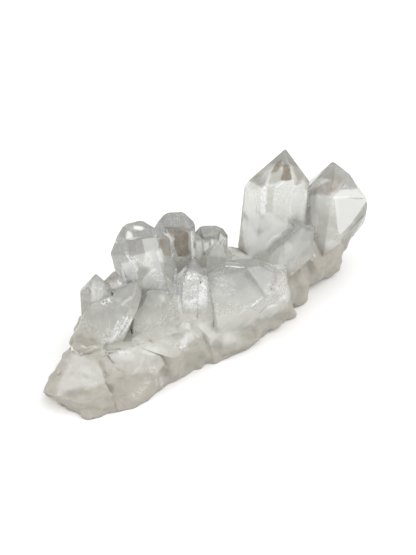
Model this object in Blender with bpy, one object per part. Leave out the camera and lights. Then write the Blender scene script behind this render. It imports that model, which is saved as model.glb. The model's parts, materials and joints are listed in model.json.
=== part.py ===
"""Quartz crystal cluster: six-sided quartz points grown together on one milky base, as one solid.

The cluster is a long ridge along X, cut off flat underneath, where it rests. Each point is a
hexagonal prism with six slanting tip faces, each uneven point or ledge is cut to its own few
flat faces, and the rest of the base is a row of faceted boulders. All of them are shaped in
millimetres and joined into one mesh in metres.

Headings are compass directions in the XY plane, in degrees anticlockwise from +X.
"""

import math
import random

import bmesh
import bpy
from mathutils import Matrix, Vector

MM = 0.001
SIDES = 6

# Quartz: the angle between the outward normal of a tip face and the crystal's long axis.
TIP_FACE_ANGLE = 51.8

# Half the width of the blocks that an uneven form and the flat cut are made from.
UNEVEN_FORM_REACH = 30.0
CUT_REACH = 120.0

# The boulders: how many flats, and how far each leans and sinks from an even ellipsoid.
BOULDER_FLATS = 22
BOULDER_LEAN = 0.25
BOULDER_SINK = 0.16

# Cuts closer than this to a corner go through the corner.
CUT_TOLERANCE = 1e-5

QUARTZ_COLOUR = (0.72, 0.71, 0.68, 1.0)
QUARTZ_ROUGHNESS = 0.12

SHARP_TIP = (0.0,) * SIDES

# The points. foot and tip are the ends of the long axis, heading is where side 0 looks, flats are
# the distances from the axis to the six sides (anticlockwise, seen from the tip) and tips is how
# far each tip face stands off the tip. chips are further flats: a point on each, its heading and
# its climb.
POINTS = {
    "tall_point": dict(
        foot=(31.0, 4.0, -1.0), tip=(43.5, 10.5, 43.0), heading=219,
        flats=(8.6, 7.4, 7.8, 8.0, 10.6, 8.6),
        tips=(0.0, 0.0, 0.5, 0.5, 0.0, 0.0)),
    "right_point": dict(
        foot=(48.0, -1.5, -0.5), tip=(57.5, 3.0, 36.0), heading=188,
        flats=(7.2, 8.4, 12.6, 8.0, 8.0, 7.5),
        tips=(0.0, 0.8, 2.7, 0.0, 0.0, 0.0),
        chips=(((58.5, -10.0, 14.0), 300, -20), ((56.0, -9.5, 19.5), 273, -23))),
    "left_middle_point": dict(
        foot=(-13.5, 8.0, 7.0), tip=(-14.5, 16.5, 40.0), heading=235,
        flats=(3.2, 7.0, 10.0, 9.6, 10.0, 3.5),
        tips=(0.0, 1.9, 2.3, 0.0, 1.4, 0.8)),
    "back_point": dict(
        foot=(-1.0, 11.0, 6.5), tip=(2.5, 16.5, 36.0), heading=228,
        flats=(2.8, 5.2, 5.0, 6.0, 10.3, 3.9),
        tips=(0.0, 1.5, 1.8, 0.0, 1.8, 1.2)),
    "back_shoulder": dict(
        foot=(8.0, 6.5, 6.5), tip=(11.5, 10.5, 30.0), heading=225,
        flats=(2.1, 2.6, 6.2, 4.0, 3.0, 2.9),
        tips=(0.0, 1.2, 2.0, 0.0, 1.5, 1.5)),
    "back_saddle": dict(
        foot=(6.7, 7.5, 6.5), tip=(10.5, 13.4, 27.0), heading=225,
        flats=(3.0, 3.5, 3.5, 3.5, 3.5, 3.5),
        tips=(1.0, 1.2, 1.5, 1.0, 1.2, 1.0)),
    "gap_point": dict(
        foot=(6.5, 4.5, 7.0), tip=(11.5, 7.0, 26.0), heading=222,
        flats=(3.0, 4.0, 4.0, 3.0, 4.0, 4.0),
        tips=(0.0, 0.5, 1.0, 0.0, 0.5, 0.5)),
    "frosty_point": dict(
        foot=(-6.5, 0.5, 5.5), tip=(0.0, 6.0, 26.0), heading=224,
        flats=(4.2, 3.6, 4.3, 4.0, 4.9, 4.5),
        tips=SHARP_TIP),
    "frosty_twin": dict(
        foot=(-4.0, -2.0, 5.5), tip=(1.5, 2.9, 24.0), heading=224,
        flats=(4.3, 4.6, 4.2, 4.0, 3.8, 3.6),
        tips=SHARP_TIP),
    "left_point": dict(
        foot=(-30.5, 14.0, 4.5), tip=(-27.0, 18.0, 28.0), heading=202,
        flats=(2.6, 3.0, 6.5, 4.0, 4.0, 4.7),
        tips=SHARP_TIP),
    "dark_point": dict(
        foot=(-24.5, 14.5, 6.5), tip=(-20.5, 17.5, 26.0), heading=228,
        flats=(2.6, 3.0, 4.0, 3.0, 4.0, 3.0),
        tips=SHARP_TIP),
    "left_front_point": dict(
        foot=(-32.0, 11.5, 4.0), tip=(-20.0, 8.0, 27.0), heading=256,
        flats=(5.2, 2.7, 3.0, 6.0, 9.8, 5.0),
        tips=SHARP_TIP),
    "middle_point": dict(
        foot=(-22.0, 3.5, 4.0), tip=(-17.0, 6.5, 23.0), heading=225,
        flats=(3.0, 4.5, 7.0, 6.0, 5.0, 5.0),
        tips=(0.0, 2.5, 3.0, 0.0, 0.0, 0.0)),
    "low_point": dict(
        foot=(-14.0, -2.0, 2.0), tip=(-12.0, -3.0, 14.0), heading=229,
        flats=(3.4, 3.6, 4.0, 4.0, 4.0, 3.6),
        tips=(0.0, 0.5, 0.5, 0.0, 0.5, 0.5)),
    "rear_left_point": dict(
        foot=(-9.0, 13.0, 2.0), tip=(-6.0, 28.0, 21.0), heading=80,
        flats=(4.5, 5.0, 4.5, 5.0, 4.5, 5.0),
        tips=(0.0, 1.0, 0.0, 1.0, 0.0, 1.0)),
    "rear_middle_point": dict(
        foot=(8.0, 12.0, 2.0), tip=(11.5, 27.0, 18.0), heading=110,
        flats=(4.0, 4.5, 5.0, 4.0, 4.5, 5.0),
        tips=(0.0, 0.5, 0.0, 1.0, 0.0, 0.5)),
    "rear_right_point": dict(
        foot=(36.0, 9.0, 2.0), tip=(43.0, 20.5, 17.5), heading=60,
        flats=(5.0, 4.5, 4.5, 5.0, 4.5, 5.5),
        tips=(0.0, 0.0, 1.0, 0.0, 1.0, 0.5)),
}

# The uneven points and ledges, each as its flat faces: a point on the face, and the heading and
# the climb of its outward normal.
UNEVEN_FORMS = {
    "blunt_front_point": (
        ((3.5, -8.0, 20.0), 228, 33),       # the big sloping face
        ((8.0, -11.0, 22.0), 275, 46),      # the facet to its right
        ((5.5, -5.0, 26.0), 7, 74),         # the blunt top
        ((0.0, -1.5, 24.5), 114, 56),
        ((6.0, -0.5, 26.0), 60, 30),
        ((19.0, -8.0, 20.0), 340, 55),
        ((-3.0, -5.1, 16.7), 160, 3),       # the sides
        ((3.5, -12.5, 15.0), 254, -10),
        ((7.0, -14.0, 17.0), 263, -17),
        ((-4.0, -9.0, 11.5), 242, -17),
        ((17.0, -11.0, 21.0), 300, 20),
        ((24.5, -9.5, 12.0), 315, 10),
        ((7.0, -4.5, -2.0), 0, -90),        # the foot
    ),
    "fore_point": (
        ((31.5, -6.5, 21.0), 225, 25),      # the front
        ((35.0, -7.0, 26.5), 311, 72),      # the tip
        ((31.0, -3.5, 25.5), 152, 54),
        ((34.5, -4.5, 26.0), 60, 30),
        ((28.0, -3.5, 21.0), 181, 24),      # the sides
        ((26.5, 0.5, 18.0), 160, 20),
        ((35.5, -9.5, 23.0), 312, -1),
        ((30.5, -9.5, 15.5), 281, -35),
        ((35.5, -1.0, 4.0), 0, -90),        # the foot
    ),
    "left_slope": (
        ((-46.8, 5.6, 9.2), 227, 56),       # the long slope
        ((-55.3, 8.3, 6.6), 120, 26),       # the back
        ((-50.2, 3.0, 1.3), 184, 26),       # the end
        ((-47.0, -2.8, 2.5), 252, 29),      # the front
        ((-40.8, -5.0, 3.0), 246, 29),
        ((-37.0, 3.3, 12.6), 330, 40),      # the crevice to its right
        ((-42.5, 7.0, 13.4), 60, 72),       # the top
        ((-36.0, -9.2, 0.0), 305, 5),
        ((-36.0, 18.0, 6.0), 85, 20),
        ((-42.0, 5.0, -2.0), 0, -90),       # the foot
    ),
    "left_spur": (
        ((-46.8, 5.6, 9.2), 227, 56),
        ((-52.4, 6.3, 2.6), 203, -26),      # the undercut
        ((-55.3, 8.3, 6.6), 175, -32),
        ((-55.3, 8.3, 6.6), 120, 26),
        ((-50.0, -0.5, 2.5), 235, 5),
        ((-50.0, 15.0, 3.0), 105, -5),
        ((-42.0, 8.0, 4.0), 0, 0),
        ((-48.0, 8.0, -2.0), 0, -90),
    ),
    "front_ledge": (
        ((-35.5, -1.4, 10.0), 255, 60),     # the ledge
        ((-33.0, 0.5, 12.4), 70, 80),
        ((-40.8, -5.0, 3.0), 246, 29),      # the front
        ((-29.6, -7.9, 2.5), 281, -7),
        ((-22.5, -3.0, 6.0), 345, 15),
        ((-30.0, 10.0, 6.0), 90, 20),
        ((-40.5, -0.5, 9.0), 165, 25),
        ((-33.0, 0.0, -2.0), 0, -90),
    ),
    "front_step": (
        ((-17.0, -5.0, 11.3), 250, 64),     # the step
        ((-16.0, -4.0, 12.0), 250, 82),
        ((-15.3, -8.5, 2.5), 263, -5),      # the front
        ((-7.3, -9.0, 2.0), 318, 22),
        ((-12.0, -8.0, 8.0), 290, 40),
        ((-24.5, -6.5, 3.0), 205, 12),
        ((-15.0, 6.0, 6.0), 90, 20),
        ((-15.0, -3.0, -2.0), 0, -90),
    ),
    "front_foot": (
        ((-1.2, -10.4, 1.5), 263, 14),      # the front
        ((11.6, -10.2, 1.5), 284, 10),
        ((3.0, -7.5, 9.5), 262, 48),        # the top
        ((3.0, -4.0, 11.5), 262, 82),
        ((-8.5, -7.0, 3.0), 205, 10),
        ((20.0, -5.0, 5.0), 330, 25),
        ((4.0, 6.0, 6.0), 90, 10),
        ((4.0, -4.0, -2.0), 0, -90),
    ),
}

# The boulders of the base: the centre and the three half lengths.
BOULDERS = {
    "core": dict(centre=(0.0, 4.0, 2.0), radii=(42.0, 11.0, 7.0)),
    "left_ledge": dict(centre=(-26.0, 5.0, 4.0), radii=(12.0, 8.0, 8.0)),
    "left_back": dict(centre=(-24.0, 15.5, 5.0), radii=(12.0, 10.0, 9.0)),
    "middle_left": dict(centre=(-17.0, 5.0, 4.0), radii=(11.0, 9.0, 7.0)),
    "middle_back": dict(centre=(-8.0, 16.5, 5.0), radii=(16.0, 9.5, 9.0)),
    "middle": dict(centre=(4.0, -1.5, 3.0), radii=(13.0, 11.0, 7.0)),
    "right_middle": dict(centre=(19.0, -1.0, 3.5), radii=(13.0, 10.5, 7.5)),
    "right_back": dict(centre=(20.0, 11.0, 5.0), radii=(18.0, 11.0, 8.5)),
    "right_front": dict(centre=(32.0, -1.0, 5.0), radii=(10.0, 8.5, 9.5)),
    "right_end": dict(centre=(48.0, 1.0, 7.5), radii=(13.0, 8.5, 9.5)),
    "right_back_end": dict(centre=(42.0, 9.0, 6.0), radii=(14.0, 9.0, 9.0)),
}


def clear_scene():
    for item in list(bpy.data.objects):
        bpy.data.objects.remove(item)


def new_collection(name):
    collection = bpy.data.collections.new(name)
    bpy.context.scene.collection.children.link(collection)
    return collection


def look_direction(heading, climb=0.0):
    """The unit vector with this heading in the XY plane and this climb above it."""
    heading, climb = math.radians(heading), math.radians(climb)
    level = math.cos(climb)
    return Vector((math.cos(heading) * level, math.sin(heading) * level, math.sin(climb)))


def looking_planes(faces):
    return [(Vector(point), look_direction(heading, climb)) for point, heading, climb in faces]


def cut_from_block(centre, reach, planes):
    """A block around centre, cut down by planes, each a point on it and its outward normal."""
    bm = bmesh.new()
    bmesh.ops.create_cube(bm, size=2.0 * reach, matrix=Matrix.Translation(centre))
    for point, normal in planes:
        cut = bmesh.ops.bisect_plane(
            bm, geom=bm.verts[:] + bm.edges[:] + bm.faces[:], dist=CUT_TOLERANCE,
            plane_co=point, plane_no=normal, clear_outer=True)
        rim = [item for item in cut["geom_cut"] if isinstance(item, bmesh.types.BMEdge)]
        if rim:
            bmesh.ops.contextual_create(bm, geom=rim)
    bmesh.ops.recalc_face_normals(bm, faces=bm.faces)
    return bm


def add_form(name, collection, bm):
    """The shape as a wire object in metres, for the cluster's Boolean modifiers."""
    bmesh.ops.transform(bm, matrix=Matrix.Scale(MM, 4), verts=bm.verts)
    mesh = bpy.data.meshes.new(name)
    bm.to_mesh(mesh)
    bm.free()
    form = bpy.data.objects.new(name, mesh)
    form.hide_render = True
    form.display_type = "WIRE"
    collection.objects.link(form)
    return form


def quartz_point(foot, tip, heading, flats, tips, chips=()):
    """One quartz point: six sides round its long axis, six tip faces and a flat foot."""
    foot, tip = Vector(foot), Vector(tip)
    axis = (tip - foot).normalized()
    level = look_direction(heading)
    side_0 = (level - axis * level.dot(axis)).normalized()
    lean = math.radians(TIP_FACE_ANGLE)
    planes = [(foot, -axis)]
    for number in range(SIDES):
        side = Matrix.Rotation(math.tau * number / SIDES, 3, axis) @ side_0
        tip_face = side * math.sin(lean) + axis * math.cos(lean)
        planes.append((foot + side * flats[number], side))
        planes.append((tip + tip_face * tips[number], tip_face))
    planes += looking_planes(chips)
    return cut_from_block((foot + tip) / 2.0, 2.0 * (tip - foot).length, planes)


def uneven_form(faces):
    """A point or ledge cut to its own few flat faces."""
    planes = looking_planes(faces)
    middle = sum((point for point, normal in planes), Vector()) / len(planes)
    return cut_from_block(middle, UNEVEN_FORM_REACH, planes)


def boulder(name, centre, radii):
    """A boulder: flats spread evenly round an ellipsoid, each leaning and sunk a little."""
    spread = random.Random(name)
    centre, radii = Vector(centre), Vector(radii)
    golden_angle = math.pi * (3.0 - math.sqrt(5.0))
    start = spread.uniform(0.0, math.tau)
    planes = []
    for number in range(BOULDER_FLATS):
        height = 1.0 - 2.0 * (number + 0.5) / BOULDER_FLATS
        ring = math.sqrt(1.0 - height * height)
        angle = start + golden_angle * number
        normal = Vector((ring * math.cos(angle), ring * math.sin(angle), height))
        normal += Vector(spread.uniform(-BOULDER_LEAN, BOULDER_LEAN) for _ in range(3))
        normal.normalize()
        reach = (radii * normal).length * (1.0 - spread.uniform(0.0, BOULDER_SINK))
        planes.append((centre + normal * reach, normal))
    return cut_from_block(centre, 2.0 * max(radii), planes)


def quartz():
    material = bpy.data.materials.new("quartz")
    material.use_nodes = True
    shader = material.node_tree.nodes["Principled BSDF"]
    shader.inputs["Base Color"].default_value = QUARTZ_COLOUR
    shader.inputs["Roughness"].default_value = QUARTZ_ROUGHNESS
    shader.inputs["Metallic"].default_value = 0.0
    return material


def add_boolean(cluster, name, operation):
    modifier = cluster.modifiers.new(name, "BOOLEAN")
    modifier.operation = operation
    modifier.solver = "EXACT"
    return modifier


def centre_on_origin(cluster, frame):
    """Moves the empty that carries everything, so that the cluster's box is centred on Z."""
    bpy.context.view_layer.update()
    solid = cluster.evaluated_get(bpy.context.evaluated_depsgraph_get())
    corners = [solid.matrix_world @ Vector(corner) for corner in solid.bound_box]
    for axis in (0, 1):
        places = [corner[axis] for corner in corners]
        frame.location[axis] -= (min(places) + max(places)) / 2.0
    bpy.context.view_layer.update()


def main():
    clear_scene()
    part = new_collection("quartz_crystal_cluster")
    growths = new_collection("growths")
    cutters = new_collection("cutters")

    shapes = {name: quartz_point(**point) for name, point in POINTS.items()}
    shapes.update((name, uneven_form(faces)) for name, faces in UNEVEN_FORMS.items())
    shapes.update((name, boulder(name, **sizes)) for name, sizes in BOULDERS.items())
    forms = {name: add_form(name, growths, shape) for name, shape in shapes.items()}
    underneath = cut_from_block(Vector((0.0, 0.0, -CUT_REACH)), CUT_REACH, [])
    flat_cut = add_form("flat_cut", cutters, underneath)

    cluster = bpy.data.objects.new("quartz_cluster", forms["core"].data.copy())
    part.objects.link(cluster)
    cluster.data.materials.append(quartz())
    bpy.data.objects.remove(forms.pop("core"))
    grown = add_boolean(cluster, "grown_together", "UNION")
    grown.operand_type = "COLLECTION"
    grown.collection = growths
    add_boolean(cluster, "cut_flat", "DIFFERENCE").object = flat_cut

    frame = bpy.data.objects.new("cluster_frame", None)
    part.objects.link(frame)
    for item in (cluster, flat_cut, *forms.values()):
        item.parent = frame
    centre_on_origin(cluster, frame)


main()
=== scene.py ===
"""Quartz crystal cluster: clear six-sided points on a milky, rugged base, laid out as an add-on."""

import json
import math

import bpy
import numpy as np
from bpy.props import FloatProperty, FloatVectorProperty, PointerProperty
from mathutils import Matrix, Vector, noise
from mathutils.bvhtree import BVHTree

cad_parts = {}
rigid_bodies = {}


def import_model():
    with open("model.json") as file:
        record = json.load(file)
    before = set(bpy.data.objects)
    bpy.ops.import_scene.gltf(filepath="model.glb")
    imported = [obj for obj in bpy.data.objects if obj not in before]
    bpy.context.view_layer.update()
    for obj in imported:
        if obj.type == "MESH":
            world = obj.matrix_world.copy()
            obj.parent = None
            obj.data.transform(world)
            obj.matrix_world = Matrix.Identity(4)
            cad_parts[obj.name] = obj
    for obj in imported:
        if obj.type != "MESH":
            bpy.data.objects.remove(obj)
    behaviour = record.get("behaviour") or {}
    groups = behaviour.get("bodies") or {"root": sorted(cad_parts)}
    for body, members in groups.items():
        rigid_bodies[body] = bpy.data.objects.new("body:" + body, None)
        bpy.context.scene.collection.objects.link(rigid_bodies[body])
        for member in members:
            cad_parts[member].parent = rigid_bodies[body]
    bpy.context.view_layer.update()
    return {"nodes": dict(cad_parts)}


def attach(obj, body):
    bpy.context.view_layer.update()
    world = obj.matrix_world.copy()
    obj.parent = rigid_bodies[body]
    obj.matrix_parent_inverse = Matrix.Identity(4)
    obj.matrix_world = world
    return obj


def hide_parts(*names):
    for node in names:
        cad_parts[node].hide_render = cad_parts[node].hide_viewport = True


bl_info = {
    "name": "Quartz Crystal Cluster",
    "version": (1, 0, 0),
    "blender": (4, 5, 0),
    "location": "3D View > Sidebar > Quartz",
    "description": "Builds a clear quartz cluster on its milky base, and a plain stage for it",
    "category": "Add Mesh",
}

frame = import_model()
MM = 0.001

# The camera: how far it is turned and how high it climbs, in degrees, the place it looks at and
# how far off that is, in millimetres, its lens, and the size of its picture in pixels.
VIEW_TURN, VIEW_CLIMB = -45.0, 35.0
VIEW_TARGET, VIEW_DISTANCE = (-4.25, -6.83, 22.0), 380.0
VIEW_LENS, VIEW_SENSOR = 85.0, 36.0
VIEW_SIZE = (416, 555)

# Streaks on the quartz: milky veils and painted highlights on lit faces and rims, brown stains and
# painted brown inner reflections, painted shade, frost with painted sparkle, and painted glints. Each
# is its name, its kind, and its two ends as the camera sees them, in pixels from its picture's upper
# left corner, then in millimetres its half width and how far its rim fades, and its strength.
MARKS = (
    ("tall_tip_strip", "milk", (272, 168.5), (266.8, 183), 0.4, 0.6, 0.45),
    ("tall_white_strip", "glint", (263.3, 188), (262.6, 211), 0.55, 1, 0.8),
    ("tall_haze", "milk", (251, 200), (252, 217), 1.6, 2.6, 0.7),
    ("tall_haze_low", "milk", (250, 226), (268, 222), 1.2, 2.8, 0.7),
    ("tall_left_shoulder", "dark", (252.5, 184), (258, 184.5), 0.7, 1.8, 0.45),
    ("tall_right_shoulder", "dark", (305.5, 176), (307.6, 184), 0.8, 1.5, 0.6),
    ("tall_tip_left_edge", "dark", (281.5, 156.5), (256, 175.8), 0.45, 2.2, 0.7),
    ("tall_tip_right_edge", "dark", (288, 157.5), (304, 174.5), 0.45, 2.2, 0.75),
    ("tall_right_strip", "glint", (306, 194), (305.2, 220), 0.35, 0.9, 0.5),
    ("tall_front_step", "glint", (276.3, 187), (284, 182), 0.12, 0.3, 0.5),
    ("tall_front_step_b", "glint", (284, 182), (292.5, 184), 0.12, 0.3, 0.35),
    ("tall_front_step_c", "glint", (266.5, 185.7), (273, 184.9), 0.12, 0.3, 0.2),
    ("right_band_core", "brown", (334.5, 191), (341.5, 180), 0.7, 1.2, 0.45),
    ("right_band_left", "brown", (312.5, 190.5), (330, 189.5), 0.6, 1.4, 0.35),
    ("right_tip_edge", "dark", (336, 171), (352, 183), 0.4, 1.8, 0.4),
    ("right_low_streak", "milk", (322, 240), (334, 246), 0.5, 2, 0.5),
    ("right_face_rim", "milk", (340, 191), (358, 190.5), 0.25, 0.4, 0.6),
    ("right_face_seam", "milk", (335.5, 198), (363.5, 197.5), 0.5, 0.5, 0.8),
    ("right_inner_edge", "milk", (314, 199), (315, 222), 0.8, 1.3, 0.7),
    ("tall_haze_left", "milk", (244.5, 224), (243.5, 255), 0.8, 1.8, 0.7),
    ("fore_edge", "brown", (268.5, 251), (284, 240), 0.2, 0.35, 0.45),
    ("fore_edge_upper", "brown", (284, 240), (299, 225.5), 0.16, 0.3, 0.45),
    ("fore_stain", "brown", (281.5, 243), (282, 254), 0.3, 0.8, 0.25),
    ("fore_streak_a", "milk", (284, 262), (303, 231), 0.3, 1.6, 0.4),
    ("fore_streak_b", "milk", (291, 268), (308, 238), 0.1, 1, 0.3),
    ("fore_streak_c", "milk", (278, 266), (289, 246), 0.6, 2, 0.55),
    ("fore_glint", "glint", (313.6, 254), (315.2, 256.4), 0.15, 0.3, 0.9),
    ("fore_foot_line", "milk", (292, 274), (312, 259.5), 0.2, 0.4, 0.7),
    ("left_middle_rim", "milk", (115, 242), (131, 238.8), 0.2, 0.35, 0.6),
    ("left_middle_rim_b", "milk", (131, 238.8), (156, 235.5), 0.2, 0.35, 0.45),
    ("left_middle_tip_glint", "glint", (135, 226.6), (142, 228.6), 0.15, 0.7, 0.55),
    ("left_middle_sparkle", "frost", (127, 254.5), (133.5, 261), 0.8, 0.8, 1),
    ("left_middle_glow_a", "glint", (127, 256), (133, 262), 0.2, 0.5, 0.95),
    ("left_middle_glow_b", "glint", (128.5, 258), (134, 257), 0.12, 0.4, 0.8),
    ("left_middle_glow_f", "glint", (122.5, 269), (124, 279), 0.4, 0.9, 0.7),
    ("left_middle_glow_g", "glint", (130, 262), (133.5, 272), 0.3, 0.8, 0.6),
    ("left_middle_glow_c", "glint", (126, 279.5), (134, 276), 0.25, 0.6, 0.7),
    ("left_middle_glow_d", "glint", (157.8, 252), (160, 260), 0.12, 0.5, 0.6),
    ("left_middle_glow_e", "glint", (149, 274), (155, 270), 0.25, 0.6, 0.6),
    ("left_middle_glow", "milk", (155.5, 248), (159.5, 261), 0.4, 1, 0.5),
    ("left_middle_low_rim", "glint", (141, 290.5), (167.5, 293), 0.25, 0.4, 0.8),
    ("left_middle_low_rim_b", "glint", (119.5, 283), (134, 281), 0.3, 0.5, 0.9),
    ("back_cap_rim", "dark", (149, 227.5), (165, 226.8), 0.2, 0.4, 0.6),
    ("back_cap_rim_b", "dark", (165, 226.8), (190, 230), 0.25, 0.4, 0.8),
    ("back_strip", "milk", (166.5, 229.5), (171.8, 241), 0.15, 0.35, 0.6),
    ("back_strip_lower", "milk", (171.8, 241), (172.6, 256), 0.22, 0.35, 0.7),
    ("back_window_streak", "milk", (177, 232), (188, 237), 0.12, 0.3, 0.35),
    ("shoulder_edge", "dark", (205.5, 241), (214.5, 235), 0.3, 0.5, 0.8),
    ("shoulder_edge_b", "dark", (214.5, 235), (215.5, 244), 0.25, 0.4, 0.5),
    ("frosty_left", "frost", (181.5, 271), (179, 296), 1.7, 0.9, 1),
    ("frosty_right", "frost", (203, 281), (202.5, 300), 1.6, 0.9, 1),
    ("frosty_right_glow", "glint", (204, 280), (202.5, 300), 0.9, 1, 0.8),
    ("frosty_left_glow", "glint", (181.5, 272), (178.5, 293), 0.9, 0.9, 1),
    ("frosty_left_low", "milk", (179, 290), (179.5, 304), 1, 1.6, 0.5),
    ("frosty_middle", "frost", (190, 281), (192, 299), 2, 1.8, 0.85),
    ("frosty_body", "milk", (190, 282), (192, 300), 2.4, 2.4, 0.5),
    ("frosty_line", "glint", (184, 302.5), (197, 300.8), 0.25, 0.4, 0.8),
    ("frosty_tip_edge", "dark", (178.5, 276), (186.5, 266.5), 0.22, 0.4, 0.8),
    ("frosty_tip_edge_b", "dark", (187.5, 267), (183.5, 280), 0.2, 0.4, 0.7),
    ("frosty_twin_edge", "dark", (200, 277), (207, 275.5), 0.25, 0.5, 0.5),
    ("frosty_corner", "dark", (213.2, 305), (214, 326), 0.15, 0.5, 0.45),
    ("blunt_specks", "frost", (220, 282), (229, 292), 1.8, 2.4, 0.35),
    ("blunt_top_edge", "glint", (226, 266.2), (243, 267.3), 0.08, 0.25, 0.8),
    ("blunt_ledge_line", "milk", (226.5, 262.7), (239, 263.4), 0.2, 0.3, 0.5),
    ("blunt_contact", "brown", (209, 275), (225, 262.5), 0.16, 0.3, 0.6),
    ("blunt_crack", "dark", (244.5, 268.5), (264.5, 296), 0.1, 0.25, 0.55),
    ("blunt_pit_upper", "brown", (276.4, 276.5), (275.9, 281), 0.28, 0.35, 0.9),
    ("blunt_pit_lower", "brown", (273, 285), (271.3, 289), 0.25, 0.35, 0.9),
    ("blunt_side_grit", "frost", (271, 290), (281, 283), 1.6, 1.8, 0.5),
    ("blunt_glint", "glint", (265.5, 266), (273, 270.5), 0.2, 0.35, 0.8),
    ("blunt_lower_glint", "glint", (253, 304.8), (262, 298.5), 0.12, 0.5, 0.6),
    ("blunt_arc", "milk", (240, 308), (253, 304.8), 0.18, 0.5, 0.35),
    ("blunt_white_patch", "glint", (268.5, 307), (276, 305), 0.35, 0.5, 0.9),
    ("blunt_white_patch_b", "milk", (281, 299), (285, 296.5), 0.5, 0.6, 0.8),
    ("foot_notch_a", "brown", (261, 312), (266, 306.5), 0.2, 0.5, 0.45),
    ("left_crevice", "brown", (81, 290.5), (106, 288.7), 0.22, 0.6, 0.5),
    ("dark_point_stain", "brown", (107, 279.5), (116.5, 277), 1, 1.2, 0.55),
    ("front_tip", "dark", (135, 284), (128, 290.5), 1.2, 2.2, 0.5),
    ("front_right_rim", "dark", (139.5, 288), (133.5, 304), 0.5, 1.4, 0.5),
    ("front_glint_a", "glint", (127.5, 318), (121.5, 327), 0.15, 0.35, 0.95),
    ("front_glint_b", "glint", (130.5, 321.5), (124.5, 331), 0.12, 0.35, 0.8),
    ("front_glint_c", "glint", (120, 330), (113, 337.5), 0.2, 0.4, 0.9),
    ("front_glint_d", "glint", (115, 326.5), (118.5, 322), 0.12, 0.3, 0.8),
    ("front_glint_e", "glint", (107, 340.5), (115, 337.5), 0.15, 0.35, 0.8),
    ("front_streak", "milk", (130.5, 297.5), (122.5, 304.3), 0.12, 0.6, 0.5),
    ("front_sparkle", "frost", (104, 303), (109, 300), 0.6, 0.8, 0.8),
    ("front_frost", "frost", (127, 320), (117, 336), 1.1, 1.3, 0.9),
    ("front_frost_rim", "milk", (131.5, 319), (121, 336.5), 0.22, 0.45, 0.8),
    ("front_frost_low", "frost", (104, 339), (112, 337), 0.9, 1, 0.8),
    ("front_left_stain", "brown", (82.5, 300), (87, 334), 1.6, 3, 0.22),
    ("front_rim", "milk", (100, 289), (131, 283), 0.2, 0.5, 0.3),
    ("middle_contact", "brown", (142, 293.3), (166, 293.6), 0.18, 0.35, 0.6),
    ("middle_crack", "brown", (158, 307), (174, 296), 0.12, 0.3, 0.8),
    ("middle_patch", "milk", (160.5, 297), (165, 301), 0.4, 0.9, 0.35),
    ("middle_side_rim", "dark", (175.5, 297), (176.5, 318), 0.3, 1.2, 0.4),
    ("low_crystal_edge", "glint", (178.5, 324), (188, 328.5), 0.12, 0.25, 0.9),
    ("low_crystal_edge_b", "glint", (188, 328.5), (199, 337), 0.12, 0.25, 0.7),
    ("low_crystal_spot", "dark", (175.5, 336), (180, 336.5), 0.7, 0.9, 0.6),
    ("low_crystal_glow", "milk", (184, 341), (192, 336), 0.8, 1, 0.6),
    ("low_crystal_foot", "frost", (173, 345), (186, 348), 0.7, 0.8, 0.7),
    ("lobe_rim", "dark", (180, 350.5), (197.5, 344), 0.15, 0.4, 0.5),
    ("slope_glint", "glint", (66.8, 361), (70, 366.5), 0.1, 0.35, 0.9),
    ("slope_glint_b", "glint", (69.5, 367), (73, 374), 0.05, 0.3, 0.6),
    ("slope_top_glint", "glint", (83.5, 346.5), (95.5, 348.5), 0.25, 0.7, 0.8),
    ("slope_fold_a", "milk", (76, 371), (92, 379), 0.8, 1.3, 0.3),
    ("slope_fold_b", "milk", (64, 388), (74, 381), 0.7, 1.3, 0.25),
    ("slope_fold_c", "milk", (80, 360), (92, 364), 0.7, 1.2, 0.25),
    ("slope_crevice", "brown", (86, 352.5), (118, 349), 0.3, 0.8, 0.55),
    ("slope_side_crevice", "brown", (100, 363), (107.5, 376), 0.25, 0.6, 0.45),
    ("slope_low_rim_a", "milk", (55, 396), (69, 390.5), 0.15, 0.35, 0.5),
    ("slope_low_rim_b", "milk", (69, 390.5), (87, 389), 0.15, 0.35, 0.5),
    ("slope_low_rim_c", "milk", (87, 389), (103, 383.5), 0.15, 0.35, 0.5),
    ("slope_under_rim", "dark", (70, 393), (101, 387.5), 0.35, 1.3, 0.3),
    ("slope_fold_d", "dark", (72.5, 374), (87, 377.5), 0.15, 0.9, 0.35),
    ("slope_fold_e", "dark", (93, 369), (101, 378), 0.12, 0.9, 0.3),
    ("slope_cloud_a", "milk", (83, 368), (95, 372.5), 0.8, 1.2, 0.5),
    ("slope_cloud_b", "milk", (75, 381), (93, 383.5), 0.8, 1.4, 0.5),
    ("slope_right_crease", "brown", (104, 366), (111.5, 384), 0.2, 0.9, 0.35),
    ("ledge_rim_a", "milk", (111.5, 367.5), (119, 374), 0.12, 0.4, 0.45),
    ("ledge_rim_b", "milk", (119, 374), (133, 373.5), 0.12, 0.4, 0.45),
    ("ledge_rim_c", "milk", (133, 373.5), (141, 364), 0.12, 0.4, 0.45),
    ("ledge_rim_d", "milk", (141, 364), (144, 357), 0.12, 0.4, 0.4),
    ("ledge_cloud", "milk", (117, 364), (137, 366), 1.2, 2.4, 0.2),
    ("ledge_cloud_b", "milk", (122, 355), (131, 358), 0.9, 1.8, 0.2),
    ("ledge_sparkle", "frost", (111, 353), (131, 354), 0.5, 0.8, 0.7),
    ("ledge_foot_sparkle", "frost", (153, 368), (159, 383), 0.7, 1.5, 0.6),
    ("ledge_foot_sparkle_b", "frost", (149, 380), (135, 398), 0.5, 1.2, 0.4),
)
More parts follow.
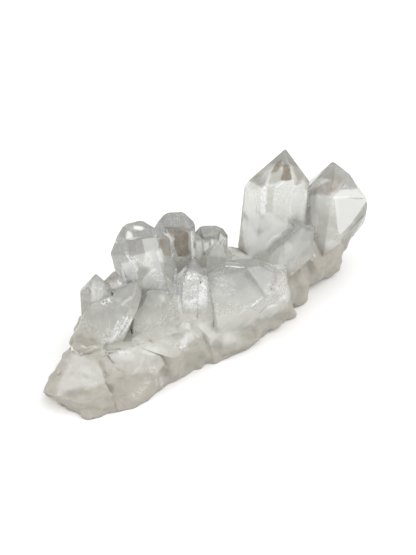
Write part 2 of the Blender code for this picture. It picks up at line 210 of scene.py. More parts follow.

# Patches with straight rims, as the cleavage and inner reflections give: painted brown inner
# reflections, painted shade on faces turned from the light, painted light on lit faces, and milky and
# frosty patches. Each is its name, its kind, its corners as the camera sees them, how far its rim
# fades, and its strength.
PANES = (
    ("tall_sliver", "brown",
     ((282.8, 158.2), (275.5, 163.6), (269.8, 174.2), (276.5, 172.2), (282.2, 165.6)), 0.7, 0.95),
    ("tall_window", "brown",
     ((283.4, 163.6), (290, 165.2), (292.2, 181.2), (285, 181), (280.2, 181.6)), 0.5, 0.97),
    ("tall_tip_right", "dark",
     ((288.5, 158), (306.5, 177.5), (296, 183.6), (293.2, 181.5), (291, 164.5)), 1.4, 0.9),
    ("tall_tip_left", "dark",
     ((280.5, 157.5), (272, 165), (266, 183.2), (257, 182.6), (252.5, 178.5)), 1.6, 0.95),
    ("tall_low_cloud", "milk",
     ((245, 226), (290, 224), (281, 240), (268, 247), (257, 257), (243.5, 258)), 2.6, 0.9),
    ("tall_lobe", "dark",
     ((282, 165.5), (280.6, 180.5), (274.6, 184), (267.5, 183), (270.6, 174.5)), 0.6, 0.75),
    ("tall_shade", "dark", ((266.6, 187), (273.6, 186.5), (272.6, 212), (266, 213)), 0.6, 0.45),
    ("tall_right_haze", "milk", ((292.5, 190), (306.5, 192), (305.5, 221), (292, 219)), 1.4, 0.3),
    ("right_band", "brown",
     ((312.3, 193.5), (313.2, 188), (341.5, 178.5), (343, 182.8), (334, 193.6), (327, 196)), 1.2, 0.85),
    ("right_tip", "dark",
     ((332.5, 167.5), (349, 182.5), (340, 181), (314, 187.5), (321, 177)), 1.6, 0.85),
    ("right_face_top", "milk",
     ((335.5, 193.5), (339.8, 190), (358.5, 190.3), (364, 197.5), (334.7, 198.5)), 0.4, 0.62),
    ("right_face", "milk",
     ((334.7, 198.5), (364, 197.5), (364.6, 208.5), (352.6, 221.5), (342.6, 236.2),
      (337.6, 231.5)), 0.4, 0.8),
    ("right_left_face", "dark", ((312, 197.5), (332.8, 197), (335.6, 228), (313, 213)), 1.2, 0.25),
    ("right_strip", "dark",
     ((352.5, 225.5), (363.5, 211.5), (356, 231), (344.5, 249), (340.5, 240)), 1, 1),
    ("fore_face", "milk",
     ((284, 243), (300, 228), (313, 231), (311, 246), (287, 262), (281, 256)), 1.6, 0.3),
    ("fore_left_face", "milk", ((283, 244), (273, 252), (268, 260), (276, 266), (284, 262)), 0.9, 0.5),
    ("left_middle_tip", "milk", ((132.8, 225), (144.6, 228.3), (140.6, 230.4), (133.4, 229)), 0.9, 0.9),
    ("left_middle_corner", "milk", ((127.3, 231), (131, 232.3), (133, 237.6), (125.6, 239)), 0.9, 0.85),
    ("left_middle_band", "brown",
     ((134.3, 240), (140, 239.6), (145.6, 256), (142.2, 264), (135.8, 254.5)), 0.6, 0.42),
    ("left_middle_panel", "milk",
     ((141, 238.6), (156.3, 236.4), (160.6, 261.5), (153.5, 263.2), (146.6, 256)), 0.5, 0.5),
    ("left_middle_fracture", "frost",
     ((127, 256), (137, 258.5), (139.5, 268), (136.6, 280.6), (121.5, 282), (118.8, 267),
      (127, 266)), 1, 0.8),
    ("left_middle_fracture_glow", "milk",
     ((120.5, 263), (135, 260), (137.5, 280), (121, 281.5)), 1.6, 0.9),
    ("left_middle_left_tint", "brown", ((116, 246), (124.5, 243.5), (127, 255), (118, 261)), 1.4, 0.12),
    ("left_middle_low_shade", "dark",
     ((134, 267.5), (152.5, 266), (147.5, 275.5), (137, 272.5)), 1, 0.4),
    ("left_middle_veil_frost", "frost",
     ((153.5, 265.5), (161.5, 262.8), (166.5, 291.5), (142, 288.6), (140, 280.6),
      (149.5, 275.8)), 1, 0.5),
    ("left_middle_veil", "milk",
     ((152, 262), (161, 261), (165.8, 291.5), (143, 288), (141.5, 281)), 1.2, 0.5),
    ("back_window", "brown",
     ((166.8, 228.4), (189.2, 231), (190, 253.5), (184.6, 257.6), (174.2, 257),
      (173.6, 246.5)), 0.9, 0.97),
    ("back_window_top", "brown", ((167.5, 228.6), (189.2, 231), (189.2, 240.5), (172, 238)), 1.4, 0.8),
    ("back_red_side", "brown",
     ((157.5, 238), (166.4, 237.6), (170.8, 246.5), (172, 257.3), (164.6, 256.6),
      (159.6, 246)), 1, 0.85),
    ("shoulder_facet", "milk",
     ((220.3, 232.4), (224.3, 237.6), (222.4, 244.2), (219, 240.2)), 0.35, 0.85),
    ("shoulder_dark", "dark", ((215.2, 231), (219.8, 232.4), (218.6, 239.8), (214, 239)), 0.5, 0.55),
    ("shoulder_twin", "dark",
     ((208, 250.4), (216.3, 245.4), (223.8, 246.8), (227.8, 252.4), (221, 257),
      (207.5, 266)), 0.6, 0.05),
    ("blunt_right_facet", "milk",
     ((246, 268.4), (263, 266), (272, 271.5), (273, 280), (265.6, 293)), 0.8, 0.25),
    ("blunt_face", "milk", ((214, 277), (241, 271), (264, 297), (243, 305), (216, 303)), 2.2, 0.3),
    ("middle_white_facet", "milk",
     ((141.6, 352.2), (146.2, 347), (159.4, 346.4), (158.6, 352), (152, 356.4)), 0.6, 0.45),
    ("dark_point", "dark",
     ((109, 277.6), (113, 275.8), (116.5, 274.5), (118.5, 282), (110, 280.5)), 0.6, 0.55),
    ("slope_patch", "milk",
     ((67, 359), (75, 349), (99, 364.4), (106.5, 376), (102.5, 385), (71, 391.5), (55.5, 394.5),
      (54.5, 388.5), (61, 377)), 1.4, 0.36),
    ("ledge_patch", "milk",
     ((111, 367.5), (122, 351.5), (137.6, 356), (138, 367), (130.4, 374.5), (114.5, 374.5)), 2.2, 0.1),
    ("lobe_shade", "dark",
     ((182, 352.5), (197, 346.5), (203.5, 350), (212.5, 361), (186, 372)), 1, 0.3),
)

# The kinds of mark, in order: milky veils with painted highlights, brown stains with painted brown
# inner reflections, painted shade, frost with painted sparkle, and painted glints.
MARK_KINDS = ("milk", "brown", "dark", "frost", "glint")

# How far a patch reaches from its plane, and how large and how strong the bends of the marks are.
PANE_DEPTH = 3.0
BEND_SIZE, BEND = 1.8, 0.3

# How high the beige foot and the rugged part reach from left to right as (x, height), and how
# far down from there the ruggedness is complete.
FOOT_LINE = ((-58.0, 13.0), (-44.0, 13.0), (-36.0, 11.0), (-28.0, 10.5), (-22.0, 11.0),
             (-17.0, 10.5), (-12.0, 6.0), (0.0, 5.0), (10.0, 5.5), (17.0, 9.0), (24.0, 15.0),
             (32.0, 15.0), (58.0, 11.0))
RUGGED_LINE = ((-46.0, 19.0), (-41.0, 16.0), (-37.0, 12.0), (-24.0, 10.0), (-20.0, 8.0),
               (-13.0, 8.0), (-8.0, 11.0), (14.0, 11.0), (22.0, 14.0), (60.0, 14.0))
RUGGED_FADE = 4.5

# Rugged only where the quartz is thicker, and its folds are wider, than the first of these, and
# wholly rugged from the second one on.
THIN, THICK = 0.2, 1.8

# In metres: the widths of the lumps, the broken steps and the pits, how close corners are merged,
# how high the flat cut's faces lie at most, and above which height the edges are worn.
LUMP_SIZE, RUBBLE_SIZE, PIT_SIZE = 0.0055, 0.0035, 0.0016
MERGE_DISTANCE = 0.000002
FLAT_CUT_TOP = 0.00001
WORN_ABOVE = 0.011

# The least angle between the faces beside a worn edge, and beside an edge that is shown sharp.
WORN_ANGLE = 0.2
SHARP_ANGLE = math.radians(28.0)

# The mesh is refined in turns: how far above the rugged part its grain still counts, and then
# the finest grain of a streak, its coarsest, and its share of how far the streak reaches, and
# the finest grain of a patch and its share of how far the patch's rim fades.
MOST_TURNS = 80
BASE_GRAIN_REACH = 1.0
STREAK_GRAIN_LEAST, STREAK_GRAIN_MOST, STREAK_GRAIN_SHARE = 0.32, 1.2, 0.6
PATCH_GRAIN_LEAST, PATCH_GRAIN_SHARE = 0.35, 0.7
PATCH_RIM_SHARE = 0.6


class QuartzSettings(bpy.types.PropertyGroup):
    edge_width: FloatProperty(
        name="Edge width", description="How far the crystal edges are worn off",
        default=0.00022, min=0.0, unit="LENGTH", precision=5)
    base_grain: FloatProperty(
        name="Base grain", description="Longest edge of the mesh on the rugged base",
        default=0.0010, min=0.0003, unit="LENGTH", precision=5)
    body_grain: FloatProperty(
        name="Body grain", description="Longest edge of the mesh on the smooth crystals",
        default=0.0030, min=0.0005, unit="LENGTH", precision=5)
    lump_height: FloatProperty(
        name="Lump height", description="Height of the broad lumps on the base",
        default=0.0028, min=0.0, unit="LENGTH", precision=5)
    rubble_height: FloatProperty(
        name="Rubble height", description="Height of the broken steps on the base",
        default=0.0011, min=0.0, unit="LENGTH", precision=5)
    pit_depth: FloatProperty(
        name="Pit depth", description="Depth of the fine pits on the base",
        default=0.00035, min=0.0, unit="LENGTH", precision=5)
    clear_colour: FloatVectorProperty(
        name="Clear quartz", description="Colour of the clear quartz in the tips",
        default=(0.80, 0.805, 0.78), subtype="COLOR", size=3, min=0.0, max=1.0)
    cloudy_colour: FloatVectorProperty(
        name="Cloudy quartz", description="Colour of the cloudy quartz lower down",
        default=(0.70, 0.70, 0.645), subtype="COLOR", size=3, min=0.0, max=1.0)
    # Used both for the milky veils and for the painted highlights on lit faces and rims.
    milk_and_highlight_colour: FloatVectorProperty(
        name="Milky veils", description="Colour of the milky veils",
        default=(0.68, 0.685, 0.675), subtype="COLOR", size=3, min=0.0, max=1.0)
    # Used for the painted sparkle of the frost and for the painted glints.
    frost_and_glint_colour: FloatVectorProperty(
        name="Frost", description="Colour of the bright flakes of broken quartz",
        default=(0.80, 0.81, 0.82), subtype="COLOR", size=3, min=0.0, max=1.0)
    base_colour: FloatVectorProperty(
        name="Base", description="Colour of the beige foot of the cluster",
        default=(0.455, 0.43, 0.375), subtype="COLOR", size=3, min=0.0, max=1.0)
    # Used for the brown stains and for the painted brown inner reflections.
    stain_and_reflection_colour: FloatVectorProperty(
        name="Stains", description="Colour of the brown stains",
        default=(0.16, 0.125, 0.085), subtype="COLOR", size=3, min=0.0, max=1.0)
    # Used for the painted shade on faces and edges turned from the light, and in the specks between the
    # frost's flakes.
    shade_colour: FloatVectorProperty(
        name="Shaded faces", description="Colour of the shadowed grey patches",
        default=(0.30, 0.295, 0.255), subtype="COLOR", size=3, min=0.0, max=1.0)
    floor_colour: FloatVectorProperty(
        name="Floor", description="Colour of the floor",
        default=(0.92, 0.92, 0.92), subtype="COLOR", size=3, min=0.0, max=1.0)


def settings():
    """The sizes and colours that a user can change."""
    return bpy.context.scene.quartz_cluster


def only(obj):
    """Leaves nothing but obj selected, and makes it active."""
    for other in bpy.context.view_layer.objects:
        other.select_set(False)
    obj.select_set(True)
    bpy.context.view_layer.objects.active = obj


def apply_modifier(obj, kind, **values):
    """Adds a modifier with these values and applies it."""
    made = obj.modifiers.new(kind.lower(), kind)
    for name, value in values.items():
        setattr(made, name, value)
    bpy.ops.object.modifier_apply(modifier=made.name)


class Nodes:
    """Adds and links a material's nodes, each call giving the new node's output."""

    def __init__(self, tree):
        self.tree = tree

    def add(self, kind, output=0, inputs=(), **values):
        made = self.tree.nodes.new(kind)
        for name, value in values.items():
            setattr(made, name, value)
        for name, value in dict(inputs).items():
            if isinstance(value, bpy.types.NodeSocket):
                self.tree.links.new(value, made.inputs[name])
            else:
                made.inputs[name].default_value = value
        return made.outputs[output]

    def maths(self, operation, a, b=0.0, c=0.0):
        return self.add("ShaderNodeMath", operation=operation, inputs={0: a, 1: b, 2: c})

    def vector(self, operation, a, b=(0.0, 0.0, 0.0), output=0, **inputs):
        return self.add("ShaderNodeVectorMath", output, {0: a, 1: b, **inputs},
                        operation=operation)

    def fade(self, value, low, high, start=0.0, end=1.0):
        """start where value is low, end where it is high, smooth between."""
        return self.add("ShaderNodeMapRange", inputs={
            "Value": value, "From Min": low, "From Max": high, "To Min": start, "To Max": end,
        }, interpolation_type="SMOOTHSTEP")

    def noise(self, place, size, detail=3.0, roughness=0.55, distortion=0.0, output=0):
        return self.add("ShaderNodeTexNoise", output, {
            "Vector": place, "Scale": 1.0 / size, "Detail": detail, "Roughness": roughness,
            "Distortion": distortion})

    def cells(self, place, size, output="Distance", feature="F1"):
        return self.add("ShaderNodeTexVoronoi", output, {"Vector": place, "Scale": 1.0 / size},
                        feature=feature)

    def mix(self, share, a, b, blend="MIX"):
        made = self.tree.nodes.new("ShaderNodeMix")
        made.data_type = "RGBA"
        made.blend_type = blend
        for socket, value in ((0, share), (6, a), (7, b)):
            if isinstance(value, bpy.types.NodeSocket):
                self.tree.links.new(value, made.inputs[socket])
            else:
                made.inputs[socket].default_value = value
        return made.outputs[2]


def quartz_material():
    """The see-through quartz: clear, cloudy and beige by height, with the marks, which hold painted
    highlights, glints, shade and brown reflections as well as milky veils, stains and frost.
    """
    s = settings()
    material = bpy.data.materials.new("clear_quartz")
    material.use_nodes = True
    tree = material.node_tree
    shader = tree.nodes["Principled BSDF"]
    nodes = Nodes(tree)
    link = tree.links.new

    metres = nodes.add("ShaderNodeTexCoord", "Object")
    place = nodes.vector("SCALE", metres, Scale=1.0 / MM)
    height = nodes.add("ShaderNodeSeparateXYZ", "Z", {0: place})
    masks = {kind: nodes.add("ShaderNodeAttribute", "Fac", attribute_name=kind)
             for kind in MARK_KINDS}

    # How milky the quartz is: clear near the tips, cloudy low down, beige at the foot.
    cloud = nodes.noise(place, 9.0, 5.0, 0.6, 0.6)
    wisp = nodes.noise(place, 2.4, 5.0, 0.65, 1.2)
    drift = nodes.maths("ADD", height, nodes.maths("MULTIPLY_ADD", cloud, -12.0, 6.0))
    low = nodes.fade(drift, 10.0, 27.0, 1.0, 0.0)
    above_foot = nodes.maths("SUBTRACT", height, nodes.add(
        "ShaderNodeAttribute", "Fac", attribute_name="foot_top"))
    foot = nodes.fade(nodes.maths("ADD", above_foot, nodes.maths(
        "MULTIPLY_ADD", cloud, -9.0, 4.5)), -3.0, 3.0, 1.0, 0.0)
    veil = nodes.maths("MULTIPLY", nodes.fade(wisp, 0.48, 0.72), 0.35)

    # Frost: painted sparkle of bright broken flakes, with painted shade in dark specks between them,
    # and the painted glints broken into flakes.
    ragged = nodes.noise(place, 0.5, 2.0, 0.6, output="Color")
    ragged = nodes.vector("ADD", place, nodes.vector("SCALE", ragged, Scale=0.9))
    flake = nodes.cells(ragged, 0.36, "Color")
    flake_value = nodes.add("ShaderNodeSeparateColor", "Red", {0: flake})
    sparkle = nodes.fade(flake_value, 0.45, 0.95)
    broken = nodes.maths("MULTIPLY", masks["glint"], nodes.fade(flake_value, 0.0, 0.6, 0.45, 1.0))
    frost = nodes.maths("MAXIMUM", broken, nodes.maths("MULTIPLY", masks["frost"], sparkle))
    speck = nodes.maths("MULTIPLY", masks["frost"], nodes.fade(flake_value, 0.02, 0.16, 0.45, 0.0))
    shade = nodes.maths("MAXIMUM", masks["dark"], speck)

    # The quartz's own colours, mottled, and over them the marks: milky veils and painted highlights,
    # painted shade, stains and painted brown reflections, and the painted sparkle and glints.
    colour = nodes.mix(veil, (*s.clear_colour, 1.0), (*s.milk_and_highlight_colour, 1.0))
    colour = nodes.mix(low, colour, (*s.cloudy_colour, 1.0))
    colour = nodes.mix(foot, colour, (*s.base_colour, 1.0))
    mottle = nodes.fade(wisp, 0.35, 0.65, 0.94, 1.05)
    colour = nodes.mix(1.0, colour, nodes.add("ShaderNodeCombineColor", inputs={
        0: mottle, 1: mottle, 2: mottle}), "MULTIPLY")
    # Milky veils and painted highlights on lit faces and rims.
    colour = nodes.mix(masks["milk"], colour, (*s.milk_and_highlight_colour, 1.0))
    # Painted shade on faces and edges turned from the light.
    colour = nodes.mix(shade, colour, (*s.shade_colour, 1.0))
    # Brown stains and painted brown inner reflections.
    stain_and_reflection = nodes.maths("MULTIPLY", masks["brown"], nodes.fade(wisp, 0.35, 0.7, 1.0, 0.85))
    colour = nodes.mix(stain_and_reflection, colour, (*s.stain_and_reflection_colour, 1.0))
    # Painted sparkle of the frost and painted glints.
    colour = nodes.mix(frost, colour, (*s.frost_and_glint_colour, 1.0))
    link(colour, shader.inputs["Base Color"])

    # How much light passes: most near the tips, least in the foot, the veils and the marks.
    body = nodes.fade(low, 0.0, 1.0, 0.72, 0.34)
    body = nodes.maths("MINIMUM", body, nodes.fade(foot, 0.0, 1.0, 1.0, 0.20))
    body = nodes.maths("MULTIPLY", body, nodes.fade(veil, 0.0, 1.0, 1.0, 0.5))
    body = nodes.maths("MULTIPLY", body, nodes.fade(masks["milk"], 0.0, 1.0, 1.0, 0.12))
    body = nodes.maths("MULTIPLY", body, nodes.fade(masks["brown"], 0.0, 1.0, 1.0, 0.2))
    body = nodes.maths("MULTIPLY", body, nodes.fade(shade, 0.0, 1.0, 1.0, 0.55))
    body = nodes.maths("MULTIPLY", body, nodes.fade(frost, 0.0, 1.0, 1.0, 0.10))
    link(body, shader.inputs["Transmission Weight"])

    # Glossy at the tips, duller low down and where wisps reach the surface.
    rough = nodes.maths("MULTIPLY_ADD", low, 0.20, 0.09)
    rough = nodes.maths("MULTIPLY_ADD", nodes.fade(wisp, 0.4, 0.7), 0.08, rough)
    rough = nodes.maths("MULTIPLY_ADD", foot, 0.18, rough)
    link(rough, shader.inputs["Roughness"])

    # Fine grain on the foot, growth lines across the points, and the broken flakes of the frost.
    grain = nodes.noise(place, 0.5, 3.0, 0.6)
    ridge = nodes.noise(nodes.vector("MULTIPLY", place, (0.5, 0.5, 3.2)), 2.0, 3.0, 0.6, 0.4)
    relief = nodes.maths("MULTIPLY", grain, nodes.fade(foot, 0.0, 1.0, 0.10, 1.0))
    relief = nodes.maths("MULTIPLY_ADD", ridge, 0.30, relief)
    relief = nodes.maths("MULTIPLY_ADD", nodes.maths("MULTIPLY", masks["frost"], flake_value),
                         1.2, relief)
    bump = nodes.add("ShaderNodeBump", inputs={"Strength": 0.5, "Distance": 0.0002,
                                               "Height": relief})
    link(bump, shader.inputs["Normal"])

    shader.inputs["IOR"].default_value = 1.544
    inside = nodes.add("ShaderNodeVolumeAbsorption", inputs={
        "Color": (0.82, 0.81, 0.75, 1.0), "Density": 18.0})
    link(inside, tree.nodes["Material Output"].inputs["Volume"])
    return material


def view_back():
    """The direction from what the camera looks at to the camera."""
    turn, climb = math.radians(VIEW_TURN), math.radians(VIEW_CLIMB)
    return Vector((math.sin(turn) * math.cos(climb), -math.cos(turn) * math.cos(climb),
                   math.sin(climb)))


def view_place():
    """Where the camera stands, in millimetres."""
    return Vector(VIEW_TARGET) + VIEW_DISTANCE * view_back()


def seen_at(tree, spot):
    """Where the camera sees the solid at a spot of its picture, in millimetres."""
    back = view_back()
    right = Vector((0.0, 0.0, 1.0)).cross(back).normalized()
    up = back.cross(right)
    pixel = VIEW_SENSOR / VIEW_LENS / max(VIEW_SIZE)
    across, down = (spot[i] - VIEW_SIZE[i] / 2.0 for i in (0, 1))
    place = tree.ray_cast(view_place(), (across * right - down * up) * pixel - back)[0]
    if place is None:
        raise ValueError(f"the camera sees no quartz at {spot}")
    return np.array(place)


def place_marks(solid):
    """The streaks and the patches, with the places on the solid where the camera sees them."""
    tree = BVHTree.FromPolygons([vertex.co / MM for vertex in solid.data.vertices],
                                [face.vertices for face in solid.data.polygons])
    streaks = [(kind, seen_at(tree, start), seen_at(tree, end), *rest)
               for name, kind, start, end, *rest in MARKS]
    patches = [(kind, np.array([seen_at(tree, corner) for corner in corners]), *rest)
               for name, kind, corners, *rest in PANES]
    return streaks, patches


def distance_to_line(places, start, end):
    """How far each place is from the line from start to end."""
    line = end - start
    share = np.clip((places - start) @ line / (line @ line), 0.0, 1.0)
    return np.linalg.norm(places - start - share[:, None] * line, axis=1)


def distance_to_pane(places, corners):
    """How far each place is outside the pane with these corners, below 0 within it."""
    middle = corners.mean(axis=0)
    sides = list(zip(corners, np.roll(corners, -1, axis=0)))
    normal = sum(np.cross(a - middle, b - middle) for a, b in sides)
    normal /= np.linalg.norm(normal)
    away = np.abs((places - middle) @ normal) - PANE_DEPTH
    for a, b in sides:
        outward = np.cross(b - a, normal)
        away = np.maximum(away, (places - a) @ outward / np.linalg.norm(outward))
    return away


def places_of(mesh):
    """The vertices' places in millimetres."""
    places = np.zeros(len(mesh.vertices) * 3)
    mesh.vertices.foreach_get("co", places)
    return places.reshape(-1, 3) / MM


def longest_allowed(middles, halves, marks, base_grain, body_grain):
    """How long an edge may be: short on the base, and shortest at the rims of the marks."""
    on_base = middles[:, 2] < rugged_top(middles) + BASE_GRAIN_REACH
    allowed = np.where(on_base, base_grain, body_grain)

    def restrict(corners, reach, rim, finest):
        low, high = corners.min(axis=0) - reach, corners.max(axis=0) + reach
        near = np.flatnonzero(((middles > low - halves[:, None])
                               & (middles < high + halves[:, None])).all(axis=1))
        near = near[rim(middles[near]) - halves[near] < 0.0]
        allowed[near] = np.minimum(allowed[near], finest)

    streaks, patches = marks
    for kind, start, end, width, fade, strength in streaks:
        reach = width + fade
        finest = min(STREAK_GRAIN_MOST, max(STREAK_GRAIN_LEAST, STREAK_GRAIN_SHARE * reach))
        restrict(np.array((start, end)), reach, lambda places: (
            distance_to_line(places, start, end) - reach), finest)
    for kind, corners, fade, strength in patches:
        finest = max(PATCH_GRAIN_LEAST, PATCH_GRAIN_SHARE * fade)
        restrict(corners, PANE_DEPTH, lambda places: (
            np.abs(distance_to_pane(places, corners)) - PATCH_RIM_SHARE * fade), finest)
    return allowed


def refine(obj, marks, base_grain, body_grain):
    """Halves the edges that are too long, over and over, at most one edge of a triangle a turn."""
    mesh = obj.data
    for turn in range(MOST_TURNS):
        places = places_of(mesh)
        ends = np.zeros(len(mesh.edges) * 2, int)
        mesh.edges.foreach_get("vertices", ends)
        first, second = places[ends[0::2]], places[ends[1::2]]
        lengths = np.linalg.norm(second - first, axis=1)
        allowed = longest_allowed((first + second) / 2.0, lengths / 2.0, marks,
                                  base_grain, body_grain)
        excess = lengths / allowed
        if not (excess > 1.0).any():
            break
        sides = np.zeros(len(mesh.loops), int)
        mesh.loops.foreach_get("edge_index", sides)
        sides = sides.reshape(-1, 3)
        # An edge is halved where it is the most excessive one of every triangle it borders.
        worst = np.zeros(len(mesh.edges), int)
        most = sides[np.arange(len(sides)), excess[sides].argmax(axis=1)]
        np.add.at(worst, most, 1)
        borders = np.zeros(len(mesh.edges), int)
        np.add.at(borders, sides, 1)
        chosen = (excess > 1.0) & (worst == borders)
        for part in (mesh.vertices, mesh.edges, mesh.polygons):
            part.foreach_set("select", np.zeros(len(part), bool))
        mesh.edges.foreach_set("select", chosen)
        bpy.context.tool_settings.mesh_select_mode = (False, True, False)
        bpy.ops.object.mode_set(mode="EDIT")
        bpy.ops.mesh.subdivide(number_cuts=1, ngon=False)
        bpy.ops.object.mode_set(mode="OBJECT")


def paint_marks(mesh, marks):
    """Writes each kind of mark to an attribute of its own, from 0 to 1."""
    places = places_of(mesh)
    bends = np.array([noise.noise_vector(Vector(place) / BEND_SIZE) for place in places])
    bent = places + bends * BEND
    painted = {kind: np.zeros(len(places)) for kind in MARK_KINDS}

    def paint(kind, away, strength):
        away = np.clip(away, 0.0, 1.0)
        mask = strength * (1.0 - away * away * (3.0 - 2.0 * away))
        painted[kind] = np.maximum(painted[kind], mask)

    streaks, patches = marks
    for kind, start, end, width, fade, strength in streaks:
        paint(kind, (distance_to_line(bent, start, end) - width) / fade, strength)
    for kind, corners, fade, strength in patches:
        paint(kind, distance_to_pane(bent, corners) / fade + 0.5, strength)
    painted["foot_top"] = foot_top(places)
    for kind, values in painted.items():
        mesh.attributes.new(kind, "FLOAT", "POINT").data.foreach_set("value", values)


def rugged_top(places):
    """How high the rugged part of the base reaches at each place."""
    return np.interp(places[:, 0], *zip(*RUGGED_LINE))


def clearance(mesh, furthest=3.0):
    """How far the surface is from each vertex straight out or straight in, in millimetres."""
    tree = BVHTree.FromPolygons([vertex.co for vertex in mesh.vertices],
                                [face.vertices for face in mesh.polygons])
    free = np.full(len(mesh.vertices), furthest)
    for vertex in mesh.vertices:
        for way in (vertex.normal, -vertex.normal):
            away = tree.ray_cast(vertex.co + way * 0.05 * MM, way, furthest * MM)[3]
            if away is not None:
                free[vertex.index] = min(free[vertex.index], away / MM)
    return free


def foot_top(places):
    """How high the beige foot reaches at each place."""
    return np.interp(places[:, 0], *zip(*FOOT_LINE))


def displace(obj, group, kind, size, strength, **values):
    """Pushes the surface in and out by a texture, as far as the vertex group lets it."""
    texture = bpy.data.textures.new("relief", kind)
    texture.noise_scale = size
    for name, value in values.items():
        setattr(texture, name, value)
    apply_modifier(obj, "DISPLACE", texture=texture, strength=strength, mid_level=0.5,
                   vertex_group=group, texture_coords="LOCAL")


def select_faces(mesh, wanted):
    """Selects the faces that wanted holds for, and no others."""
    for part in (mesh.vertices, mesh.edges, mesh.polygons):
        part.foreach_set("select", np.zeros(len(part), bool))
    for face in mesh.polygons:
        face.select = wanted(face)


def wear_edges(obj, width):
    """Bevels the crystals' edges above the base."""
    mesh = obj.data
    facing = {}
    for face in mesh.polygons:
        for key in face.edge_keys:
            facing.setdefault(key, []).append(face.normal)
    weights = mesh.attributes.new("bevel_weight_edge", "FLOAT", "EDGE").data
    for edge, weight in zip(mesh.edges, weights):
        ends = [mesh.vertices[v].co.z for v in edge.vertices]
        normals = facing[tuple(sorted(edge.vertices))]
        weight.value = float(min(ends) > WORN_ABOVE
                             and normals[0].angle(normals[1]) > WORN_ANGLE)
    apply_modifier(obj, "BEVEL", width=width, segments=2, limit_method="WEIGHT",
                   use_clamp_overlap=False)


def open_cut(obj):
    """Takes the flat cut's faces away and leaves triangles alone."""
    select_faces(obj.data, lambda face: face.center.z < FLAT_CUT_TOP)
    bpy.ops.object.mode_set(mode="EDIT")
    bpy.ops.mesh.select_mode(type="FACE")
    bpy.ops.mesh.delete(type="FACE")
    bpy.ops.mesh.select_all(action="SELECT")
    bpy.ops.mesh.quads_convert_to_tris(quad_method="BEAUTY", ngon_method="CLIP")
    bpy.ops.object.mode_set(mode="OBJECT")


def roughen(obj):
    """Makes the base rugged: smoothed steps, broad lumps, broken steps and fine pits."""
    s = settings()
    mesh = obj.data
    rugged = obj.vertex_groups.new(name="rugged")
    places = places_of(mesh)
    shares = np.clip((rugged_top(places) - places[:, 2]) / RUGGED_FADE, 0.0, 1.0)
    shares *= np.clip((clearance(mesh) - THIN) / (THICK - THIN), 0.0, 1.0)
    for index in np.flatnonzero(shares):
        rugged.add([int(index)], float(shares[index]), "REPLACE")
    apply_modifier(obj, "SMOOTH", factor=0.5, iterations=4, vertex_group="rugged")
    displace(obj, "rugged", "CLOUDS", LUMP_SIZE, s.lump_height, noise_depth=1)
    displace(obj, "rugged", "VORONOI", RUBBLE_SIZE, s.rubble_height)
    apply_modifier(obj, "SMOOTH", factor=0.5, iterations=1, vertex_group="rugged")
    displace(obj, "rugged", "CLOUDS", PIT_SIZE, s.pit_depth, noise_depth=2)


def flatten_foot(mesh):
    """Lifts what hangs below the flat cut up to it, and puts the cut's rim on it."""
    for vertex in mesh.vertices:
        vertex.co.z = max(vertex.co.z, 0.0)
    sides = np.zeros(len(mesh.loops), int)
    mesh.loops.foreach_get("edge_index", sides)
    borders = np.bincount(sides, minlength=len(mesh.edges))
    for edge in np.flatnonzero(borders == 1):
        for v in mesh.edges[edge].vertices:
            mesh.vertices[v].co.z = 0.0


def close_cut(obj):
    """Fills the flat cut and turns every face outward."""
    bpy.ops.object.mode_set(mode="EDIT")
    bpy.ops.mesh.select_mode(type="EDGE")
    bpy.ops.mesh.select_all(action="DESELECT")
    bpy.ops.mesh.select_non_manifold()
    bpy.ops.mesh.edge_face_add()
    bpy.ops.mesh.quads_convert_to_tris(quad_method="BEAUTY", ngon_method="CLIP")
    bpy.ops.mesh.select_all(action="SELECT")
    bpy.ops.mesh.normals_make_consistent(inside=False)
    bpy.ops.object.mode_set(mode="OBJECT")


class QUARTZ_OT_cluster(bpy.types.Operator):
    """Adds the cluster, grown from the solid with worn edges and a rugged base"""
    bl_idname = "quartz.cluster"
    bl_label = "Crystal cluster"

    def execute(self, context):
        s = settings()
        solid = frame["nodes"]["quartz_cluster"]
        mesh = solid.data.copy()
        mesh.name = "quartz_growth"
        growth = bpy.data.objects.new("quartz_growth", mesh)
        context.scene.collection.objects.link(growth)
        only(growth)
        bpy.ops.object.mode_set(mode="EDIT")
        bpy.ops.mesh.select_all(action="SELECT")
        bpy.ops.mesh.remove_doubles(threshold=MERGE_DISTANCE)
        bpy.ops.mesh.normals_make_consistent(inside=False)
        bpy.ops.object.mode_set(mode="OBJECT")
        wear_edges(growth, s.edge_width)

        # The flat cut is left open while the sides are made rugged, then closed again.
        open_cut(growth)
        marks = place_marks(solid)
        refine(growth, marks, s.base_grain / MM, s.body_grain / MM)
        roughen(growth)
        flatten_foot(mesh)
        close_cut(growth)

        paint_marks(mesh, marks)
        bpy.ops.object.shade_smooth_by_angle(angle=SHARP_ANGLE)
        mesh.materials.clear()
        mesh.materials.append(quartz_material())
        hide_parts("quartz_cluster")
        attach(growth, "root")
        return {"FINISHED"}


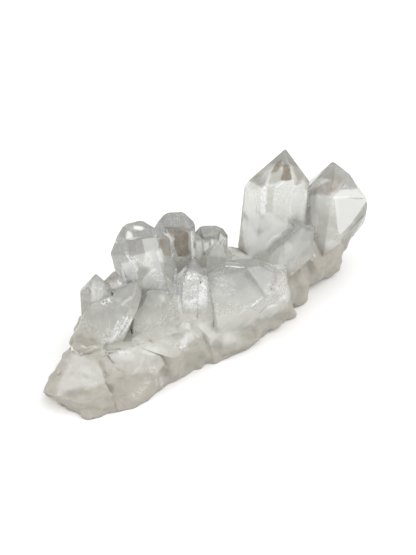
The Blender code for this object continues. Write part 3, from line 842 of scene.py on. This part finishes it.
class QUARTZ_OT_stage(bpy.types.Operator):
    """Adds the floor, the soft studio light and the camera"""
    bl_idname = "quartz.stage"
    bl_label = "Stage"

    def execute(self, context):
        s = settings()
        scene = context.scene
        bpy.ops.object.select_all(action="DESELECT")
        bpy.ops.mesh.primitive_plane_add(size=6.0, location=(0.0, 0.0, -0.0002))
        floor = context.active_object
        floor.name = "floor"
        paint = bpy.data.materials.new("floor_paint")
        paint.use_nodes = True
        shader = paint.node_tree.nodes["Principled BSDF"]
        shader.inputs["Base Color"].default_value = (*s.floor_colour, 1.0)
        shader.inputs["Roughness"].default_value = 0.9
        shader.inputs["Specular IOR Level"].default_value = 0.1
        floor.data.materials.append(paint)

        world = bpy.data.worlds.new("studio")
        scene.world = world
        world.use_nodes = True
        nodes = Nodes(world.node_tree)
        view = nodes.add("ShaderNodeTexCoord", "Generated")
        rise = nodes.add("ShaderNodeSeparateXYZ", "Z", {0: view})
        sky = nodes.mix(nodes.fade(rise, 0.0, 0.7), (0.50, 0.50, 0.46, 1.0), (1.0, 1.0, 1.0, 1.0))
        back = world.node_tree.nodes["Background"]
        world.node_tree.links.new(sky, back.inputs[0])
        back.inputs[1].default_value = 1.0

        def area(name, place, size, power):
            light = bpy.data.lights.new(name, "AREA")
            light.size = size
            light.energy = power
            lamp = bpy.data.objects.new(name, light)
            scene.collection.objects.link(lamp)
            lamp.location = place
            lamp.rotation_euler = (-Vector(place)).to_track_quat("-Z", "Y").to_euler()

        area("key_light", (0.5, -0.9, 1.1), 1.4, 10.0)
        area("fill_light", (-1.0, 0.3, 0.9), 1.4, 7.5)

        camera = bpy.data.cameras.new("camera")
        camera.lens = VIEW_LENS
        camera.sensor_width = VIEW_SENSOR
        camera.clip_start, camera.clip_end = 0.01, 20.0
        eye = bpy.data.objects.new("camera", camera)
        scene.collection.objects.link(eye)
        eye.location = view_place() * MM
        eye.rotation_euler = (-view_back()).to_track_quat("-Z", "Y").to_euler()
        scene.camera = eye
        scene.view_settings.view_transform = "Standard"
        return {"FINISHED"}


class QUARTZ_PT_panel(bpy.types.Panel):
    """The cluster's operators and settings"""
    bl_label = "Quartz Cluster"
    bl_space_type = "VIEW_3D"
    bl_region_type = "UI"
    bl_category = "Quartz"

    def draw(self, context):
        for name in QuartzSettings.__annotations__:
            self.layout.prop(settings(), name)
        for operator in OPERATORS:
            self.layout.operator(operator.bl_idname)


OPERATORS = (QUARTZ_OT_cluster, QUARTZ_OT_stage)
CLASSES = (QuartzSettings, *OPERATORS, QUARTZ_PT_panel)


def register():
    for cls in CLASSES:
        bpy.utils.register_class(cls)
    bpy.types.Scene.quartz_cluster = PointerProperty(type=QuartzSettings)


def unregister():
    del bpy.types.Scene.quartz_cluster
    for cls in reversed(CLASSES):
        bpy.utils.unregister_class(cls)


def main():
    register()
    bpy.ops.quartz.cluster()
    bpy.ops.quartz.stage()


if __name__ == "__main__":
    main()
